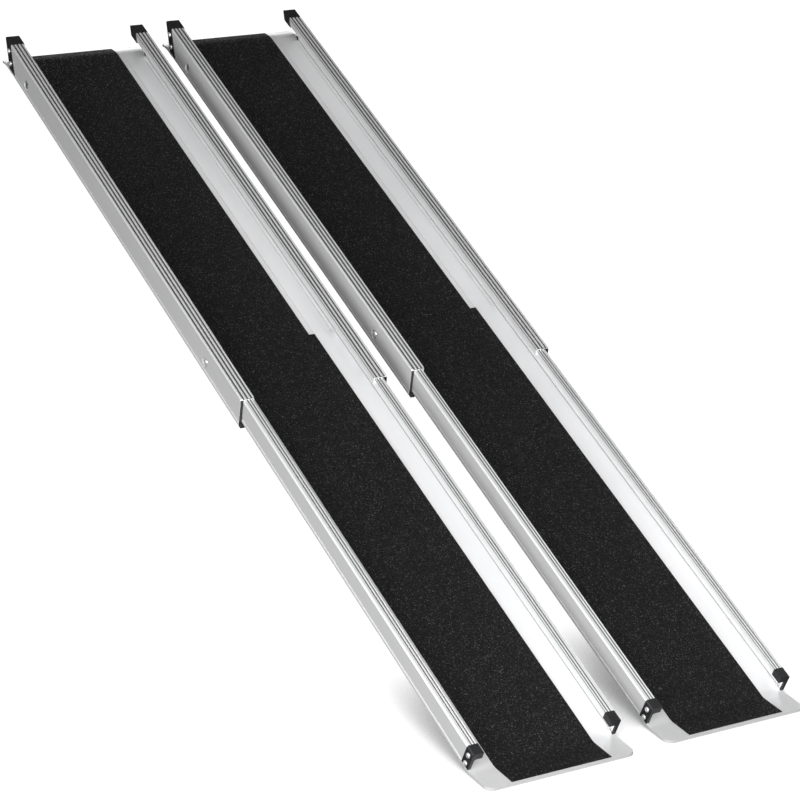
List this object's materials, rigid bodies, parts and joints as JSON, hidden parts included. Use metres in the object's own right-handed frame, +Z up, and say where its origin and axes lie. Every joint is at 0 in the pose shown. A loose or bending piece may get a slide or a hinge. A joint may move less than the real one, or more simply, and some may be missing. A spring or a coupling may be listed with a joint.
{
  "type": "portable wheelchair ramp",
  "caption": "Pair of telescopic lipped aluminium channel tracks with grit-taped decks, black end caps and bent lips, laid as a sloping ramp for wheels.",
  "frame": {"origin": "centre of the whole object's box in X and Y, at the ground, on which the two lower lips lie", "axes": "+X across the tracks to the right, +Y horizontally uphill, +Z up; the tracks rise 20 degrees towards +Y"},
  "size_m": [0.502, 1.4168, 0.5291],
  "materials": {
    "aluminium": "satin mill finish",
    "grit_tape": "coarse grit with fine sparkle",
    "black_plastic": "moulded, fine texture",
    "screw_steel": "bright zinc",
    "button_steel": "bright",
    "spring_steel": "spring steel"
  },
  "bodies": {
    "left_upper": {"left_upper_channel": "aluminium", "left_upper_grit_tape": "grit_tape", "left_upper_cap_left": "black_plastic", "left_upper_cap_right": "black_plastic", "left_upper_cap_screws": "screw_steel", "left_mouth_guide_left": "black_plastic", "left_mouth_guide_right": "black_plastic"},
    "left_lower": {"left_lower_channel": "aluminium", "left_lower_grit_tape": "grit_tape", "left_lower_cap_left": "black_plastic", "left_lower_cap_right": "black_plastic", "left_lower_cap_screws": "screw_steel", "left_lock_spring": "spring_steel", "left_spring_rivets": "screw_steel"},
    "left_button": {"left_lock_button": "button_steel"},
    "right_upper": {"right_upper_channel": "aluminium", "right_upper_grit_tape": "grit_tape", "right_upper_cap_left": "black_plastic", "right_upper_cap_right": "black_plastic", "right_upper_cap_screws": "screw_steel", "right_mouth_guide_left": "black_plastic", "right_mouth_guide_right": "black_plastic"},
    "right_lower": {"right_lower_channel": "aluminium", "right_lower_grit_tape": "grit_tape", "right_lower_cap_left": "black_plastic", "right_lower_cap_right": "black_plastic", "right_lower_cap_screws": "screw_steel", "right_lock_spring": "spring_steel", "right_spring_rivets": "screw_steel"},
    "right_button": {"right_lock_button": "button_steel"}
  },
  "joints": [
    {"name": "track_spacing", "type": "slide", "parent": "left_upper", "child": "right_upper", "axis": [1, 0, 0], "range_m": [-0.03, 0.4]},
    {"name": "left_telescope", "type": "slide", "parent": "left_upper", "child": "left_lower", "axis": [0, 0.9397, 0.342], "range_m": [0, 0.62]},
    {"name": "left_button_press", "type": "slide", "parent": "left_lower", "child": "left_button", "axis": [1, 0, 0], "range_m": [0, 0.005], "stiffness_N_per_m": 600, "springref_m": -0.003, "deforming": ["left_lock_spring"]},
    {"name": "right_telescope", "type": "slide", "parent": "right_upper", "child": "right_lower", "axis": [0, 0.9397, 0.342], "range_m": [0, 0.62]},
    {"name": "right_button_press", "type": "slide", "parent": "right_lower", "child": "right_button", "axis": [1, 0, 0], "range_m": [0, 0.005], "stiffness_N_per_m": 600, "springref_m": -0.003, "deforming": ["right_lock_spring"]}
  ]
}
